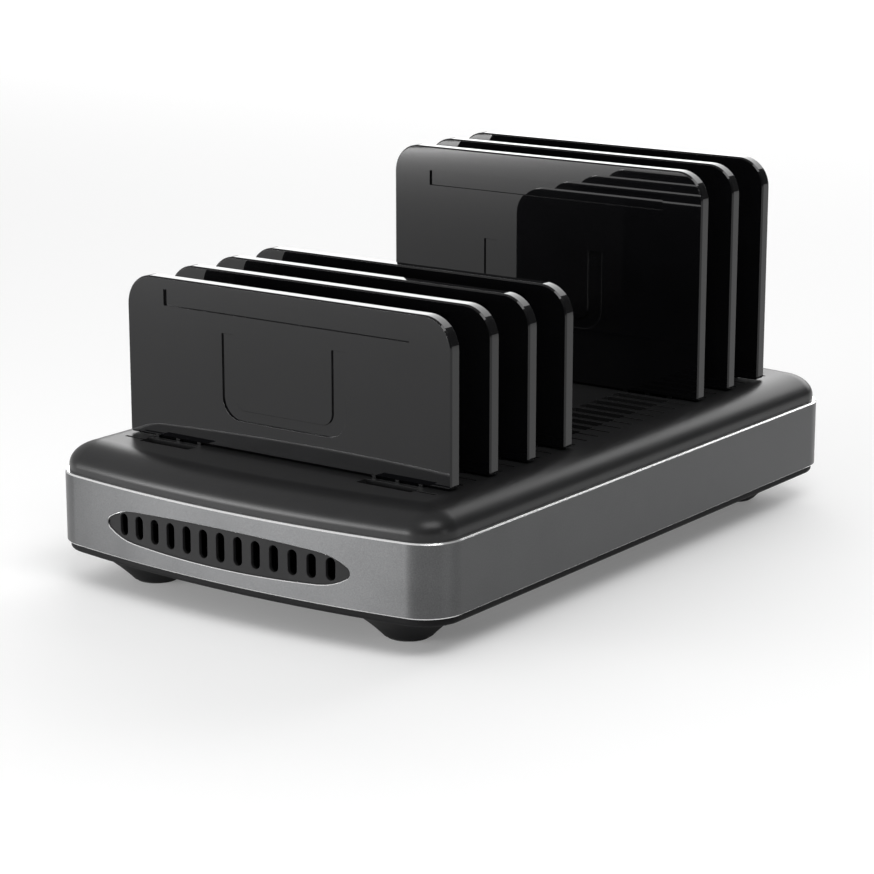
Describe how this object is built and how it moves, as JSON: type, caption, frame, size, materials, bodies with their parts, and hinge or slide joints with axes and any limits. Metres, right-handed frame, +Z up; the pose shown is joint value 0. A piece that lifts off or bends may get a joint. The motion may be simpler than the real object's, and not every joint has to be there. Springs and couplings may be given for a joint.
{
  "type": "charging station organizer",
  "caption": "Desktop charging station: low vented base with a slotted deck, lift-out dividers for standing devices, side row of charging sockets, mains inlet and rocker switch.",
  "frame": {"origin": "centre of the base's footprint on the surface it stands on", "axes": "+Z up; +Y along the base, from the short-divider end to the tall-divider end; +X across the base, away from the side with the connectors"},
  "size_m": [0.16, 0.26, 0.1294],
  "materials": {
    "band_grey": "satin metallic grey with a fine blasted grain",
    "satin_black": "satin black moulded plastic",
    "gloss_black": "polished piano black",
    "pan_black": "black moulded plastic with fine texture",
    "grille_grey": "dark grey moulded plastic",
    "switch_black": "semi-gloss black",
    "foot_rubber": "matt black rubber",
    "socket_steel": "bright plated pressed steel",
    "tongue_black": "black insulator",
    "contact_brass": "bright nickel-plated brass",
    "board_green": "green solder-masked laminate",
    "ferrite": "dark grey ferrite",
    "winding_tape": "yellow winding tape",
    "sleeve_black": "shrink sleeve",
    "sink_aluminium": "extruded aluminium",
    "capacitor_box": "moulded box",
    "wire_sleeve": "brown insulated wire",
    "screw_steel": "zinc-plated steel"
  },
  "bodies": {
    "base": {"side_band": "band_grey", "top_cover": "satin_black", "bottom_pan": "pan_black", "vent_grille_front": "grille_grey", "vent_grille_rear": "grille_grey", "port_panel": "pan_black", "inlet_housing": "pan_black", "inlet_pins": "contact_brass", "switch_housing": "pan_black", "main_board": "board_green", "transformer_core": "ferrite", "transformer_winding": "winding_tape", "bulk_capacitor": "sleeve_black", "heat_sink_primary": "sink_aluminium", "heat_sink_secondary": "sink_aluminium", "line_choke": "ferrite", "safety_capacitor": "capacitor_box", "mains_fuse": "capacitor_box", "mains_wires": "wire_sleeve", "output_capacitors": "sleeve_black", "case_screws": "screw_steel", "board_screws": "screw_steel", "usb_shell_01": "socket_steel", "usb_shell_02": "socket_steel", "usb_shell_03": "socket_steel", "usb_shell_04": "socket_steel", "usb_shell_05": "socket_steel", "usb_shell_06": "socket_steel", "usb_shell_07": "socket_steel", "usb_shell_08": "socket_steel", "usb_shell_09": "socket_steel", "usb_shell_10": "socket_steel", "usb_tongue_01": "tongue_black", "usb_tongue_02": "tongue_black", "usb_tongue_03": "tongue_black", "usb_tongue_04": "tongue_black", "usb_tongue_05": "tongue_black", "usb_tongue_06": "tongue_black", "usb_tongue_07": "tongue_black", "usb_tongue_08": "tongue_black", "usb_tongue_09": "tongue_black", "usb_tongue_10": "tongue_black", "rubber_foot_1": "foot_rubber", "rubber_foot_2": "foot_rubber", "rubber_foot_3": "foot_rubber", "rubber_foot_4": "foot_rubber"},
    "divider_short_1": {"divider_short_1": "gloss_black"},
    "divider_short_2": {"divider_short_2": "gloss_black"},
    "divider_short_3": {"divider_short_3": "gloss_black"},
    "divider_short_4": {"divider_short_4": "gloss_black"},
    "divider_tall_1": {"divider_tall_1": "gloss_black"},
    "divider_tall_2": {"divider_tall_2": "gloss_black"},
    "divider_tall_3": {"divider_tall_3": "gloss_black"},
    "switch_rocker": {"switch_rocker": "switch_black"}
  },
  "joints": [
    {"name": "divider_short_1_lift", "type": "slide", "parent": "base", "child": "divider_short_1", "axis": [0, 0, 1], "range_m": [0, 0.04]},
    {"name": "divider_short_2_lift", "type": "slide", "parent": "base", "child": "divider_short_2", "axis": [0, 0, 1], "range_m": [0, 0.04]},
    {"name": "divider_short_3_lift", "type": "slide", "parent": "base", "child": "divider_short_3", "axis": [0, 0, 1], "range_m": [0, 0.04]},
    {"name": "divider_short_4_lift", "type": "slide", "parent": "base", "child": "divider_short_4", "axis": [0, 0, 1], "range_m": [0, 0.04]},
    {"name": "divider_tall_1_lift", "type": "slide", "parent": "base", "child": "divider_tall_1", "axis": [0, 0, 1], "range_m": [0, 0.04]},
    {"name": "divider_tall_2_lift", "type": "slide", "parent": "base", "child": "divider_tall_2", "axis": [0, 0, 1], "range_m": [0, 0.04]},
    {"name": "divider_tall_3_lift", "type": "slide", "parent": "base", "child": "divider_tall_3", "axis": [0, 0, 1], "range_m": [0, 0.04]},
    {"name": "switch_rock", "type": "hinge", "parent": "base", "child": "switch_rocker", "pos_m": [-0.07369, 0.065, 0.0261], "axis": [0, 0, 1], "range_deg": [0, 18]}
  ]
}
